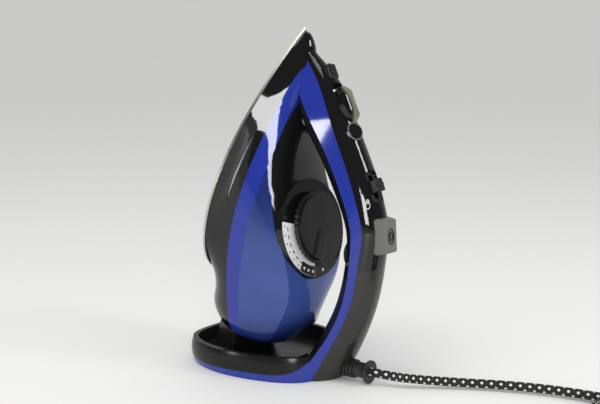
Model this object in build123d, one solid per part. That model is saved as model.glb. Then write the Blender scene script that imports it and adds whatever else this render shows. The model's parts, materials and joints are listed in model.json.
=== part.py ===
from build123d import *
import math
import os

os.makedirs("parts", exist_ok=True)

# Sizes are in millimetres and degrees. The iron's own frame has X up from the sole, Y across and Z
# along the sole towards the tip, and stand() turns it on to its heel with the floor at Z = 0.

# Stance
LEAN = 20.0
HEEL_BACK = 85.0
HEEL_SETBACK = 45.7

# Soleplate and heater
SOLE_LENGTH = 230.0
SOLE_HALF_WIDTH = 63.5
SOLE_THICK = 2.4
STEAM_HOLE_R = 1.4
STEAM_HOLES = 10
STEAM_START = 0.2
STEAM_STEP = 0.062
STEAM_SPREAD = 0.72
STEAM_CLOSING = 0.0085
STEAM_ROW = 0.25
HEATER_TOP = 11.0
HEATER_INSET = 9.8
CHAMBER_DEPTH = 5.0
CHAMBER_LIP = 2.2
ELEMENT_R = 3.2
ELEMENT_BEND = 14.0
ELEMENT_RISE = 11.0
GASKET_THICK = 0.8
LID_THICK = 1.2
FUSE_R = 2.0
FUSE_LENGTH = 16.0
FUSE_U = 87.0
SCREW_R = 1.6
SCREW_HEAD_R = 3.2
SCREW_HEAD = 2.0

# Housing
WALL = 2.4
TANK_FLOOR = 2.4
REACH = 400.0
PROUD = 1.0

# Dial
DIAL_V = 66.0
DIAL_U = 73.5
DIAL_TILT = 30.0
DIAL_R = 31.5
DIAL_NECK_R = 25.0
DIAL_NECK = 3.5
DIAL_HEIGHT = 9.0
DIAL_GRIPS = 40
DIAL_GRIP_DEPTH = 0.9
DIAL_CAP = 2.0
DIAL_CHAMFER = 3.0
DIAL_HUB = 4.0
FIN_WIDTH = 11.0
FIN_RISE = 4.0
FIN_TURN = -50.0
FIN_CORNER = FIN_WIDTH / 3
FIN_ROUND = FIN_RISE / 4
BEZEL_R = 42.5
BEZEL_DEPTH = 5.0
BEZEL_RISE = 1.4
LABEL_THICK = 0.4
LABEL_MARGIN = 1.0
LABEL_START = 165.0
LABEL_SWEEP = 95.0
SHAFT_R = 3.0
SHAFT_TUBE_R = 6.0
SHAFT_LENGTH = 53.0
SHAFT_TUBE_END = 48.0
SHAFT_TUBE_GAP = 0.6
THERMOSTAT_R = 5.5
THERMOSTAT_HEIGHT = 4.5

# Controls on the handle
RAMP_TILT = 44.0
RAMP_V = 35.9
RAMP_U = 215.2
RAMP_STEP = 9.5
NOZZLE_AT = 9.5
NOZZLE_LENGTH = 13.0
NOZZLE_WIDTH = 10.0
NOZZLE_RISE = 7.5
NOZZLE_R = 2.4
NOZZLE_TIP_AT = 0.55 * NOZZLE_RISE
NOZZLE_SEAT = 4.0
NOZZLE_CORNER = 2.0
NOZZLE_ROUND = 1.2
DOOR_AT = 40.0
DOOR_HALF_LENGTH = 16.0
DOOR_HALF_WIDTH = 8.6
DOOR_RISE = 5.5
DOOR_SEAT = 1.4
DOOR_LIP = 0.8
DOOR_WELL_R = 5.8
DOOR_WELL_HALF = 6.2
PIN_R = 1.0
PIN_DEPTH = 2.8
PIN_INSET = 2.5
PIN_HALF = 8.2
BARREL_R = 2.1
BARREL_HALF = 3.2
BARREL_WEB = 2.4
THROAT_R = 6.0
THROAT_WALL = 1.0
THROAT_AT = 34.0
THROAT_TOP = -10.5
THROAT_LENGTH = 36.0
SPRAY_AT = 63.5
SPRAY_Y = -3.0
SPRAY_ROLL = 12.0
SPRAY_R = 6.2
SPRAY_RING = 1.5
SPRAY_RISE = 1.6
SPRAY_SINK = 0.4
SPRAY_SKIRT = 4.0
RING_DEPTH = 3.0
RING_RISE = 0.9
SPRAY_TRAVEL = 3.0
SLIDER_AT = 111.0
SLIDER_TRAVEL = 5.0
SLIDER_SIZE = 11.0
SLIDER_STEM = 4.8
SLIDER_POCKET = 3.0
SLIDER_FOOT = 9.0
SLIDER_RISE = 3.6
SLIDER_RIDGE = 1.6
POCKET_MARGIN = 2.5
POCKET_CORNER = 4.0
LINK_DEPTH = 25.0
LINK_HEIGHT = 7.0
LINK_Y = 10.2
LINK_THICK = 2.0
LINK_END = 9.0
ARM_THICK = 3.0
CHANNEL_START = 45.0
CHANNEL_ROOF = 18.0
VALVE_U = 150.0
VALVE_Y = 6.5
VALVE_R = 1.6
VALVE_TOP = 64.0
VALVE_HEAD = 2.0
VALVE_SINK = 1.0
GUIDE_TOP = 35.0
VALVE_RATIO = 0.3
VALVE_GUIDE_R = 3.6
CAM_PIN_R = 1.2
BOOST_V = 134.2
BOOST_U = 100.0
BOOST_TILT = 23.0
BOOST_LENGTH = 30.0
BOOST_WIDTH = 20.0
BOOST_RISE = 7.0
BOOST_TAPER = 12.0
BOOST_ROUND = 1.0
BOOST_TRAVEL = 4.0
BOOST_SKIRT = 5.0
BOOST_CORNER = 3.0
PUMP_R = 6.6
PISTON_R = 2.2
PISTON_LENGTH = 8.0
PUMP_HEAD = 1.5
PUMP_FLOOR = 3.0
PAD_SINK = 4.5
PAD_HALF_LENGTH = 17.0
PAD_RISE = 10.0
HANDLE_WALL = 4.2
SIDE_CLEARANCE = 0.4
RUN_CLEARANCE = 0.08

# Heel
HEEL_FRONT = 70.5
HEEL_REAR = 65.0
HEEL_WIDTH = 111.0
HEEL_BULGE = 2.5
HEEL_BULGE_Z = 10.0
HEEL_RIM = 22.0
HEEL_WALL = 4.0
HEEL_FLOOR = 10.5
TRAY_PLATE = 2.0

# Cord, plug and put-away coil
CORD_R = 3.75
CORD_START = 58.0
CLAMP_HEIGHT = 9.0
CLAMP_THICK = 6.0
CLAMP_WIDTH = 19.0
TERMINAL_LENGTH = 14.0
TERMINAL_STATION = 4
CORE_START = 4
BUSHING_Z = 10.5
BUSHING_START = CORD_START + 0.6
BUSHING_RIB_START = 73.0
BUSHING_NECK = 90.0
BUSHING_END = 103.0
BUSHING_R = 6.6
BUSHING_RIBS = 5
RIB_WIDTH = 2.0
RIB_RISE = 1.4
FLANGE_R = 9.8
FLANGE_THICK = 1.5
FLARE_LENGTH = 3.5
FLARE_TAPER = 40.0
BORE_START = 30.0
COIL_LEAD_X = 290.0
COIL_X = 335.0
COIL_Y = 23.0
COIL_R = 54.0
COIL_PITCH = 8.2
COIL_HALF_TURNS = 6
COIL_Z = 5.2
TAIL_LENGTH = 30.0
TIE_WIDTH = 10.0
TIE_THICK = 1.0
RELIEF_LENGTH = 16.0
RELIEF_WALL = 1.0
PLUG_LENGTH = 36.0
PLUG_WIDTH = 26.0
PLUG_HEIGHT = 2 * (COIL_Z + COIL_PITCH)
PLUG_CORNER = 5.0
BLADE_SPACING = 12.7
BLADE_THICK = 1.5
BLADE_WIDTH = 6.3
BLADE_LENGTH = 17.0

STAND = Pos(-HEEL_SETBACK, 0, HEEL_BACK * math.cos(math.radians(LEAN))) * Rot(0, LEAN, 0)

# Half of the heating element's loop and the sole screws, as shares of the sole's length and half-width
ELEMENT_LINE = [(0.12, 0.57), (0.33, 0.7), (0.89, 0.0)]
SCREW_PLACES = [(0.81, 0.0), (0.075, 0.24), (0.075, -0.24)]

# Bends of the cord's lead between the bushing and the coil
CORD_BENDS = [(112.0, 0.0, BUSHING_Z), (135.0, 12.0, 8.0), (166.0, 36.0, COIL_Z), (205.0, 57.0, COIL_Z),
              (246.0, 71.0, COIL_Z)]

# Housing sections from the tip to the rear: place along the sole, then height and half-width of the
# lower edge, the skirt's top, the band's top and the shoulder, and last the crown's height
BODY = [
    (227.0, (2.6, 2.6), (5.0, 2.1), (6.0, 1.6), (7.0, 1.0), 7.6),
    (209.0, (2.6, 14.8), (13.0, 9.0), (15.5, 7.0), (17.5, 4.5), 18.5),
    (176.0, (2.6, 34.0), (15.8, 24.5), (23.0, 16.5), (24.2, 14.0), 25.8),
    (145.0, (2.6, 48.3), (17.3, 36.0), (27.0, 28.5), (30.0, 25.0), 33.0),
    (110.0, (2.6, 59.2), (17.7, 46.0), (31.0, 41.5), (41.5, 33.5), 46.0),
    (80.0, (2.6, 62.6), (19.5, 50.5), (33.5, 47.0), (58.0, 40.5), 62.5),
    (50.0, (2.6, 61.2), (23.0, 52.0), (36.5, 48.8), (76.5, 39.0), 79.5),
    (20.0, (4.6, 47.0), (28.0, 50.0), (41.0, 48.0), (84.0, 31.0), 90.5),
    (-6.0, (6.3, 32.0), (33.0, 46.5), (47.0, 45.0), (82.0, 29.5), 90.0),
    (-34.0, (8.0, 17.0), (43.0, 38.0), (54.0, 36.0), (70.0, 25.0), 77.0),
]

# Share of the wall thickness by which each point of an inner section lies lower than the outer one
INSET_DROPS = (1.0, 0.0, 0.6, 0.7)

# Side lines that divide skirt, band and tank: height above the sole and place along it
SKIRT_LINE = [(30.0, 226.0), (24.0, 216.0), (18.8, 204.0), (16.4, 183.0), (17.3, 140.0), (19.5, 80.0),
              (28.0, 20.0), (46.0, -44.0)]
BAND_LINE = [(30.0, 240.0), (23.2, 184.0), (29.5, 128.0), (33.5, 80.0), (41.0, 20.0), (60.0, -44.0)]

# Half of the deck panel's leaf shape: place along the sole and half-width
LEAF = [(188.0, 0.0), (146.0, 29.5), (110.0, 37.5), (78.0, 42.0), (55.0, 38.0), (40.5, 22.0), (35.0, 0.0)]

# Line between the heel's base strip and its tray: place from the sole side to the rear and height
BASE_LINE = [(-80.0, 4.2), (-25.0, 5.6), (20.0, 6.6), (44.0, 7.8), (55.0, 12.0), (61.5, 20.0), (65.0, 30.0)]

# Neck between housing and heel: place along the sole, low and high edges' heights, then half-widths
NECK = [(-34.1, 9.5, 42.0, 15.0, 30.0), (-80.0, 11.0, 40.0, 14.0, 24.0)]

# Handle sections on the ramp: distance up it and lift, depths of cover, trim and frame, half-widths
RAMP = [
    (-28.0, -11.5, 6.0, 1.5, 1.0, 2.2, 2.8),
    (0.0, -8.5, 8.5, 13.0, 2.0, 8.0, 11.0),
    (22.0, -1.5, 11.0, 20.0, 11.0, 12.0, 15.0),
    (48.0, 0.0, 12.0, 17.0, 15.0, 14.5, 16.5),
    (85.0, 0.5, 12.5, 12.5, 14.5, 15.5, 17.5),
    (116.0, -0.5, 12.5, 10.5, 14.0, 16.5, 18.5),
]

# Handle sections on the grip: height, place along the sole, tilt, then the same five sizes
GRIP = [
    (134.4, 103.4, 26.0, 11.5, 9.5, 13.0, 17.0, 19.5),
    (140.9, 78.6, 10.0, 11.5, 7.5, 12.5, 18.0, 20.5),
    (145.5, 52.2, 3.0, 11.5, 6.5, 13.5, 18.5, 21.0),
    (147.0, 24.0, 0.0, 12.0, 6.0, 14.0, 19.0, 21.8),
    (144.5, -3.6, 4.0, 13.0, 6.5, 14.0, 22.0, 25.2),
    (140.9, -24.9, 12.0, 13.0, 9.0, 12.5, 24.5, 30.5),
    (137.2, -44.1, 20.0, 12.0, 11.0, 10.0, 26.0, 34.0),
]

# Shares of the frame's half-width and depth at which its sides turn in to the rounded inner face
FRAME_TURN = (0.84, 0.4)


def stand(shape):
    return STAND * shape


def across(face):
    return extrude(face, REACH / 4, dir=(0, 1, 0), both=True)


def sole_plane(v):
    return Plane(origin=(v, 0, 0), x_dir=(0, 0, 1), z_dir=(1, 0, 0))


def ramp_point(distance, lift=0.0):
    tilt = math.radians(RAMP_TILT)
    v = RAMP_V + distance * math.sin(tilt) + lift * math.cos(tilt)
    u = RAMP_U - distance * math.cos(tilt) + lift * math.sin(tilt)
    return v, u


def outward_plane(v, u, tilt, y=0.0, roll=0.0):
    turn = math.radians(tilt)
    side = math.radians(roll)
    normal = (math.cos(turn) * math.cos(side), -math.sin(side), math.sin(turn) * math.cos(side))
    return Plane(origin=(v, y, u), x_dir=(0, 1, 0), z_dir=normal)


def ramp_plane(distance, y=0.0, roll=0.0, lift=0.0):
    return outward_plane(*ramp_point(distance, lift), RAMP_TILT, y, roll)


def cross_plane(point, y=0.0):
    return Plane(origin=(point[0], y, point[1]), x_dir=(0, 0, 1), z_dir=(0, 1, 0))


def rod(plane, radius, low, high):
    return extrude(plane.offset(low) * Circle(radius), high - low)


def cross_rod(point, radius, half_length, y=0.0):
    return rod(cross_plane(point, y), radius, -half_length, half_length)


def block(plane, width, length, low, high, corner=0.0):
    outline = RectangleRounded(width, length, corner) if corner else Rectangle(width, length)
    return extrude(plane.offset(low) * outline, high - low)


def rounded_block(plane, width, length, low, high, corner, edge):
    form = extrude(Pos(0, 0, low) * RectangleRounded(width, length, corner), high - low)
    return plane.location * fillet(form.edges().group_by(Axis.Z)[-1], edge)


def largest(shape):
    return max(shape.solids(), key=lambda solid: solid.volume)


def mirrored_face(points, tangents):
    half = Spline(*points, tangents=tangents)
    return make_face([half, mirror(half, Plane.XZ)])


def slab(face, low, high):
    return extrude(sole_plane(low) * face, high - low, dir=(1, 0, 0))


def sole_outline(inset=0.0):
    wide = SOLE_HALF_WIDTH - inset
    points = [(SOLE_LENGTH - 2.2 * inset, 0), (0.76 * SOLE_LENGTH, 0.55 * SOLE_HALF_WIDTH - inset),
              (0.48 * SOLE_LENGTH, 0.94 * SOLE_HALF_WIDTH - inset), (0.29 * SOLE_LENGTH, wide),
              (0.08 * SOLE_LENGTH, 0.74 * SOLE_HALF_WIDTH - inset), (inset, 0)]
    return mirrored_face(points, [(-1, 0.75), (0, -1)])


def chamber_outline(grow=0.0):
    points = [(0.72 * SOLE_LENGTH + 2 * grow, 0), (0.49 * SOLE_LENGTH, 0.4 * SOLE_HALF_WIDTH + grow),
              (0.25 * SOLE_LENGTH, 0.5 * SOLE_HALF_WIDTH + grow), (0.12 * SOLE_LENGTH - grow, 0)]
    return mirrored_face(points, [(-1, 0.6), (0, -1)])


def leaf_outline():
    return mirrored_face(LEAF, [(-1, 0.6), (0, -1)])


def heel_outline(grow, z):
    rear, front, side = HEEL_REAR + grow, HEEL_FRONT + grow, HEEL_WIDTH / 2 + grow
    flank = [(0.84 * rear, 0.62 * side), (0.2 * rear, 0.97 * side), (-0.45 * front, 0.99 * side),
             (-0.9 * front, 0.68 * side)]
    others = [(x, -y) for x, y in flank[::-1]]
    return Pos(0, 0, z) * make_face(Spline((rear, 0), *flank, (-front, 0), *others, periodic=True))


def body_loft(wall=0.0, skip=0):
    sections = []
    for u, edge, skirt, band, shoulder, crown in BODY[skip:]:
        drops = zip((edge, skirt, band, shoulder), INSET_DROPS)
        rows = [(max(width - wall, 1.0), v - drop * wall) for (v, width), drop in drops]
        others = [(-width, v) for width, v in rows]
        arch = ThreePointArc(rows[-1], (0, crown - wall), others[-1])
        outline = [Line(others[0], rows[0]), Spline(*rows), arch, Spline(*others[::-1])]
        place = u + wall if u < 0 else u
        plane = Plane(origin=(0, 0, place), x_dir=(0, -1, 0), z_dir=(0, 0, 1))
        sections.append(plane * make_face(outline))
    return loft(sections)


def above(line, lift=0.0):
    points = [(v + lift, u) for v, u in line]
    border = Polyline(points[-1], (REACH, points[-1][1]), (REACH, points[0][1]), points[0])
    side = Plane(origin=(0, 0, 0), x_dir=(1, 0, 0), z_dir=(0, -1, 0))
    return across(side * make_face([Spline(*points), border]))


def handle_stations():
    ramp = [(*ramp_point(*row[:2]), RAMP_TILT, *row[2:]) for row in RAMP]
    return ramp + GRIP


def station_face(layer, cover, trim, frame, cover_half, trim_half):
    seam, deep, inner = -cover, -cover - trim, -cover - trim - frame
    if layer == "cover":
        arc = ThreePointArc((-cover_half, seam), (0, 0), (cover_half, seam))
        return make_face([arc, Line((cover_half, seam), (-cover_half, seam))])
    if layer == "trim":
        corners = [(-cover_half, seam), (cover_half, seam), (trim_half, deep), (-trim_half, deep)]
        return make_face(Polyline(*corners, close=True))
    if layer == "shell":
        arc = ThreePointArc((-cover_half, seam), (0, 0), (cover_half, seam))
        sides = Polyline((cover_half, seam), (trim_half, deep), (-trim_half, deep), (-cover_half, seam))
        return make_face([arc, sides])
    if layer == "frame":
        turn = (FRAME_TURN[0] * trim_half, deep - FRAME_TURN[1] * frame)
        other = (-turn[0], turn[1])
        sides = Polyline(other, (-trim_half, deep), (trim_half, deep), turn)
        return make_face([sides, ThreePointArc(turn, (0, inner), other)])
    wall = HANDLE_WALL if layer == "core" else HANDLE_WALL + SIDE_CLEARANCE
    return Pos(0, inner / 2) * Ellipse(cover_half - wall, -inner / 2 - wall)


def station_plane(v, u, tilt):
    turn = math.radians(tilt)
    return Plane(origin=(v, 0, u), x_dir=(0, 1, 0), z_dir=(math.sin(turn), 0, -math.cos(turn)))


def handle_loft(layer, first=0):
    stations = handle_stations()[first:]
    return loft([station_plane(*row[:3]) * station_face(layer, *row[3:]) for row in stations])


def terminal_block():
    plane = station_plane(*GRIP[TERMINAL_STATION][:3])
    half = TERMINAL_LENGTH / 2
    return handle_loft("terminal", CORE_START) & block(plane, REACH / 4, REACH / 4, -half, half)


def save(name, shape):
    export_step(shape, "parts/" + name + ".step")
    print(name, len(shape.solids()), round(shape.volume))


def steam_holes():
    holes = []
    for step in range(STEAM_HOLES):
        u = SOLE_LENGTH * (STEAM_START + STEAM_STEP * step)
        y = SOLE_HALF_WIDTH * (STEAM_SPREAD - STEAM_CLOSING * step * step)
        for side in (-1, 1):
            for row in (0.0, STEAM_ROW):
                plane = Plane(origin=(0, side * y * (1 - row), u), x_dir=(0, 0, 1), z_dir=(1, 0, 0))
                holes.append(rod(plane, STEAM_HOLE_R, -1, SOLE_THICK + 1))
    return holes


def soleplate():
    return slab(sole_outline(), 0, SOLE_THICK) - steam_holes()


def element_path():
    points = [(u * SOLE_LENGTH, y * SOLE_HALF_WIDTH) for u, y in ELEMENT_LINE]
    back = [(u, -y) for u, y in points[1::-1]]
    return sole_plane(HEATER_TOP) * FilletPolyline(*points, *back, radius=ELEMENT_BEND)


def along_element(radius):
    path = element_path()
    start = path @ 0
    return sweep(Plane(origin=start, z_dir=path % 0) * Circle(radius), path=path)


def element_ends():
    ends = []
    u, y = ELEMENT_LINE[0]
    for side in (-1, 1):
        origin = (HEATER_TOP, side * y * SOLE_HALF_WIDTH, u * SOLE_LENGTH + ELEMENT_R)
        plane = Plane(origin=origin, x_dir=(0, 0, 1), z_dir=(1, 0, 0))
        ends.append(rod(plane, ELEMENT_R / 2, 0, ELEMENT_RISE))
    return ends


def sole_screw_planes():
    return [Plane(origin=(0, SOLE_HALF_WIDTH * y, SOLE_LENGTH * u), x_dir=(0, 0, 1), z_dir=(1, 0, 0))
            for u, y in SCREW_PLACES]


def heater_casting():
    casting = slab(sole_outline(HEATER_INSET), SOLE_THICK, HEATER_TOP)
    low, high = HEATER_TOP - CHAMBER_DEPTH, HEATER_TOP + PROUD
    chamber = slab(chamber_outline(), low, high)
    bores = [rod(plane, SCREW_R, low, high) for plane in sole_screw_planes()]
    return casting - chamber - along_element(ELEMENT_R + RUN_CLEARANCE) - bores


def sole_screws():
    screws = []
    for plane in sole_screw_planes():
        shank = rod(plane, SCREW_R, HEATER_TOP - CHAMBER_DEPTH, HEATER_TOP)
        screws.append(shank + rod(plane, SCREW_HEAD_R, HEATER_TOP, HEATER_TOP + SCREW_HEAD))
    return Compound(screws)


def heater_room():
    casting = slab(sole_outline(HEATER_INSET - SIDE_CLEARANCE), 0, HEATER_TOP + SIDE_CLEARANCE)
    head_top = HEATER_TOP + SCREW_HEAD + SIDE_CLEARANCE
    heads = [rod(plane, SCREW_HEAD_R + SIDE_CLEARANCE, 0, head_top) for plane in sole_screw_planes()]
    return [casting, along_element(ELEMENT_R + SIDE_CLEARANCE), *heads]


def dial_plane():
    return outward_plane(DIAL_V, DIAL_U, DIAL_TILT)


def thermostat():
    plane = dial_plane()
    low = -SHAFT_LENGTH - THERMOSTAT_HEIGHT
    cup = rod(plane, THERMOSTAT_R, low, -SHAFT_LENGTH - RUN_CLEARANCE)
    middle = plane.from_local_coords((0, 0, low))
    base = HEATER_TOP + GASKET_THICK + LID_THICK
    post = Plane(origin=(base, 0, middle.Z), x_dir=(0, 0, 1), z_dir=(1, 0, 0))
    return cup + block(post, THERMOSTAT_R, THERMOSTAT_R, 0, middle.X - base + PROUD)


def thermal_fuse():
    base = HEATER_TOP + GASKET_THICK + LID_THICK
    plane = Plane(origin=(base + FUSE_R, 0, FUSE_U), z_dir=(0, 0, 1))
    foot = Plane(origin=(base, 0, FUSE_U + FUSE_LENGTH / 2), x_dir=(0, 0, 1), z_dir=(1, 0, 0))
    return rod(plane, FUSE_R, 0, FUSE_LENGTH) + block(foot, FUSE_LENGTH / 2, 2 * FUSE_R, 0, FUSE_R)


def dial():
    plane = dial_plane()
    base = BEZEL_RISE + LABEL_THICK + SIDE_CLEARANCE
    rim = []
    for step in range(2 * DIAL_GRIPS):
        angle = math.pi * step / DIAL_GRIPS
        radius = DIAL_R - DIAL_GRIP_DEPTH * (step % 2)
        rim.append((radius * math.cos(angle), radius * math.sin(angle)))
    top = base + DIAL_HEIGHT
    neck_top = base + DIAL_NECK
    neck = rod(plane, DIAL_NECK_R, base, neck_top)
    star = plane.offset(neck_top) * make_face(Polyline(*rim, close=True))
    grips = extrude(star, top - DIAL_CAP - neck_top)
    cap = rod(plane, DIAL_R - DIAL_CHAMFER, top - DIAL_CAP, top)
    fin_length = DIAL_R - DIAL_CHAMFER - DIAL_CAP
    turned = plane.rotated((0, 0, FIN_TURN))
    seat = Plane(origin=turned.from_local_coords((0, -DIAL_R / 2, 0)), x_dir=turned.x_dir, z_dir=plane.z_dir)
    fin = rounded_block(seat, FIN_WIDTH, fin_length, top - DIAL_CAP, top + FIN_RISE, FIN_CORNER, FIN_ROUND)
    return neck + grips + cap + fin - rod(plane, SHAFT_R + RUN_CLEARANCE, 0, base + DIAL_HUB)


def dial_shaft():
    plane = dial_plane()
    return rod(plane, SHAFT_R, -SHAFT_LENGTH, BEZEL_RISE + LABEL_THICK + SIDE_CLEARANCE + DIAL_HUB)


def shaft_tube():
    plane = dial_plane()
    outer = rod(plane, SHAFT_TUBE_R, -SHAFT_TUBE_END, -BEZEL_DEPTH)
    return outer - rod(plane, SHAFT_R + SHAFT_TUBE_GAP, -SHAFT_LENGTH, 0)


def bezel():
    plane = dial_plane()
    hole = rod(plane, SHAFT_R + SIDE_CLEARANCE, -BEZEL_DEPTH - PROUD, BEZEL_RISE + PROUD)
    return rod(plane, BEZEL_R, -BEZEL_DEPTH, BEZEL_RISE) - hole


def scale_label():
    plane = dial_plane().offset(BEZEL_RISE)
    ring = Circle(BEZEL_R - LABEL_MARGIN) - Circle(DIAL_NECK_R + LABEL_MARGIN)
    reach = 2 * BEZEL_R
    spread = [LABEL_START + LABEL_SWEEP * step / 4 for step in range(5)]
    points = [(reach * math.cos(math.radians(a)), reach * math.sin(math.radians(a))) for a in spread]
    return extrude(plane * (ring & make_face(Polyline((0, 0), *points, close=True))), LABEL_THICK)


def door_form():
    plane = ramp_plane(DOOR_AT)
    prism = extrude(plane.offset(-DOOR_RISE) * Ellipse(DOOR_HALF_WIDTH, DOOR_HALF_LENGTH), 3 * DOOR_RISE)
    sag = DOOR_RISE - DOOR_LIP
    roof_r = (DOOR_HALF_LENGTH ** 2 + sag ** 2) / (2 * sag)
    roof = cross_rod(ramp_point(DOOR_AT, DOOR_RISE - roof_r), roof_r, 2 * DOOR_HALF_WIDTH)
    crown_r = 1.5 * DOOR_HALF_WIDTH
    ridge = Plane(origin=plane.from_local_coords((0, 0, DOOR_RISE - crown_r)), z_dir=plane.y_dir)
    return prism & roof & rod(ridge, crown_r, -2 * DOOR_HALF_LENGTH, 2 * DOOR_HALF_LENGTH)


def door_seat(cover_form):
    plane = ramp_plane(DOOR_AT)
    wide, long = DOOR_HALF_WIDTH + SIDE_CLEARANCE, DOOR_HALF_LENGTH + SIDE_CLEARANCE
    prism = extrude(plane.offset(-DOOR_RISE) * Ellipse(wide, long), 3 * DOOR_RISE)
    return prism - cover_form.moved(Location(plane.z_dir * -DOOR_SEAT))


def pin_point():
    return ramp_point(DOOR_AT - DOOR_HALF_LENGTH + PIN_INSET, -PIN_DEPTH)


def filler_door(cover_form):
    plane = ramp_plane(DOOR_AT)
    seat = cover_form.moved(Location(plane.z_dir * (SIDE_CLEARANCE - DOOR_SEAT)))
    lid = largest(door_form() - seat)
    barrel = cross_rod(pin_point(), BARREL_R, BARREL_HALF)
    web_plane = ramp_plane(DOOR_AT - DOOR_HALF_LENGTH + PIN_INSET + BARREL_R / 3)
    web = block(web_plane, 2 * BARREL_HALF, BARREL_WEB, -PIN_DEPTH, PROUD / 2)
    return lid + barrel + web - cross_rod(pin_point(), PIN_R + RUN_CLEARANCE, PIN_HALF)


def nozzle_block():
    plane = ramp_plane(NOZZLE_AT, lift=-RAMP_STEP)
    sizes = (NOZZLE_WIDTH, NOZZLE_LENGTH, -NOZZLE_SEAT, NOZZLE_RISE)
    return rounded_block(plane, *sizes, NOZZLE_CORNER, NOZZLE_ROUND)


def nozzle_plane():
    plane = ramp_plane(NOZZLE_AT, lift=-RAMP_STEP)
    origin = plane.from_local_coords((0, NOZZLE_LENGTH / 2, NOZZLE_TIP_AT))
    return Plane(origin=origin, x_dir=(0, 1, 0), z_dir=plane.y_dir)


def nozzle_tip():
    return rod(nozzle_plane(), NOZZLE_R, -NOZZLE_SEAT, PROUD)


def spray_plane():
    return ramp_plane(SPRAY_AT, SPRAY_Y, SPRAY_ROLL, -SPRAY_SINK)


def spray_button():
    plane = spray_plane()
    stem = rod(plane, PISTON_R, -SPRAY_SKIRT - PISTON_LENGTH, -SPRAY_SKIRT)
    return rod(plane, SPRAY_R, -SPRAY_SKIRT, SPRAY_RISE) + stem


def pump(plane, skirt, travel):
    top = -skirt - travel - PUMP_HEAD
    floor = -skirt - PISTON_LENGTH - travel - PUMP_HEAD
    bore = rod(plane, PISTON_R + RUN_CLEARANCE, floor, top + PROUD)
    return rod(plane, PUMP_R, floor - PUMP_FLOOR, top) - bore


def pump_seat(plane, skirt, travel):
    return rod(plane, PUMP_R, -skirt - PISTON_LENGTH - travel - PUMP_HEAD - PUMP_FLOOR, 0)


def spray_ring():
    plane = spray_plane()
    hole = rod(plane, SPRAY_R + SIDE_CLEARANCE, -RING_DEPTH - PROUD, RING_RISE + PROUD)
    return rod(plane, SPRAY_R + SPRAY_RING, -RING_DEPTH, RING_RISE) - hole


def boost_plane():
    return outward_plane(BOOST_V, BOOST_U, BOOST_TILT)


def boost_button():
    plane = boost_plane()
    skirt = block(plane, BOOST_WIDTH, BOOST_LENGTH, -BOOST_SKIRT, 0, BOOST_CORNER)
    cap = extrude(RectangleRounded(BOOST_WIDTH, BOOST_LENGTH, BOOST_CORNER), BOOST_RISE, taper=BOOST_TAPER)
    cap = plane.location * fillet(cap.edges().group_by(Axis.Z)[-1], BOOST_ROUND)
    return skirt + cap + rod(plane, PISTON_R, -BOOST_SKIRT - PISTON_LENGTH, -BOOST_SKIRT)


def slider():
    plane = ramp_plane(SLIDER_AT)
    cap = block(plane, SLIDER_SIZE, SLIDER_SIZE, SIDE_CLEARANCE - SLIDER_POCKET, SLIDER_RISE, SLIDER_RIDGE)
    ridge_length = SLIDER_SIZE - 2 * SLIDER_RIDGE
    ridge = block(plane, ridge_length, SLIDER_RIDGE, 0, SLIDER_RISE + SLIDER_RIDGE)
    return cap + ridge + block(plane, SLIDER_STEM, SLIDER_FOOT, ARM_THICK / 2 - LINK_DEPTH, 0)


def slider_slot():
    plane = ramp_plane(SLIDER_AT)
    pocket_length = SLIDER_SIZE + 2 * (SLIDER_TRAVEL + POCKET_MARGIN)
    pocket_width = SLIDER_SIZE + 2 * POCKET_MARGIN
    pocket = block(plane, pocket_width, pocket_length, -SLIDER_POCKET, 2 * SLIDER_SIZE, POCKET_CORNER)
    slot_length = SLIDER_FOOT + 2 * (SLIDER_TRAVEL + SIDE_CLEARANCE)
    return pocket + block(plane, SLIDER_STEM + 2 * SIDE_CLEARANCE, slot_length, -LINK_DEPTH, 0)


def cam_point():
    return VALVE_TOP, VALVE_U


def slider_link():
    v, u = cam_point()
    tilt = math.radians(RAMP_TILT)
    cam_distance = (v - RAMP_V) * math.sin(tilt) + (RAMP_U - u) * math.cos(tilt)
    cam_depth = (v - RAMP_V) * math.cos(tilt) - (RAMP_U - u) * math.sin(tilt)
    front, back = cam_distance - LINK_END, SLIDER_AT + SLIDER_FOOT / 2
    plane = ramp_plane((front + back) / 2, LINK_Y)
    low, high = cam_depth - LINK_HEIGHT / 2, cam_depth + LINK_HEIGHT / 2
    bar = block(plane, LINK_THICK, back - front, low, high)
    arm_width = LINK_Y + LINK_THICK / 2 + SLIDER_STEM / 2
    arm_plane = ramp_plane(SLIDER_AT, (LINK_Y + LINK_THICK / 2 - SLIDER_STEM / 2) / 2)
    arm_low, arm_high = -LINK_DEPTH - ARM_THICK / 2, ARM_THICK / 2 - LINK_DEPTH
    arm = block(arm_plane, arm_width, SLIDER_FOOT, arm_low, arm_high)
    rise = VALVE_RATIO * math.cos(tilt)
    run = 1 - VALVE_RATIO * math.sin(tilt)
    slope = math.degrees(math.atan2(rise, run))
    reach = SLIDER_TRAVEL * math.hypot(rise, run)
    slot_height = 2 * (CAM_PIN_R + SIDE_CLEARANCE)
    slot = SlotOverall(2 * reach + 2 * slot_height, slot_height, rotation=slope)
    along = ramp_plane(0)
    cam_plane = Plane(origin=(v, LINK_Y, u), x_dir=along.y_dir, z_dir=(0, 1, 0))
    return bar + arm - extrude(cam_plane * slot, LINK_THICK, both=True)


def link_channel():
    back = SLIDER_AT + SLIDER_FOOT / 2 + SLIDER_TRAVEL + SIDE_CLEARANCE
    inner, outer = SLIDER_STEM / 2 + SIDE_CLEARANCE, LINK_Y + LINK_THICK + SIDE_CLEARANCE
    plane = ramp_plane((CHANNEL_START + back) / 2, (outer - inner) / 2)
    floor = -LINK_DEPTH - LINK_HEIGHT - PROUD
    return block(plane, outer + inner, back - CHANNEL_START, floor, -CHANNEL_ROOF)


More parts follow.
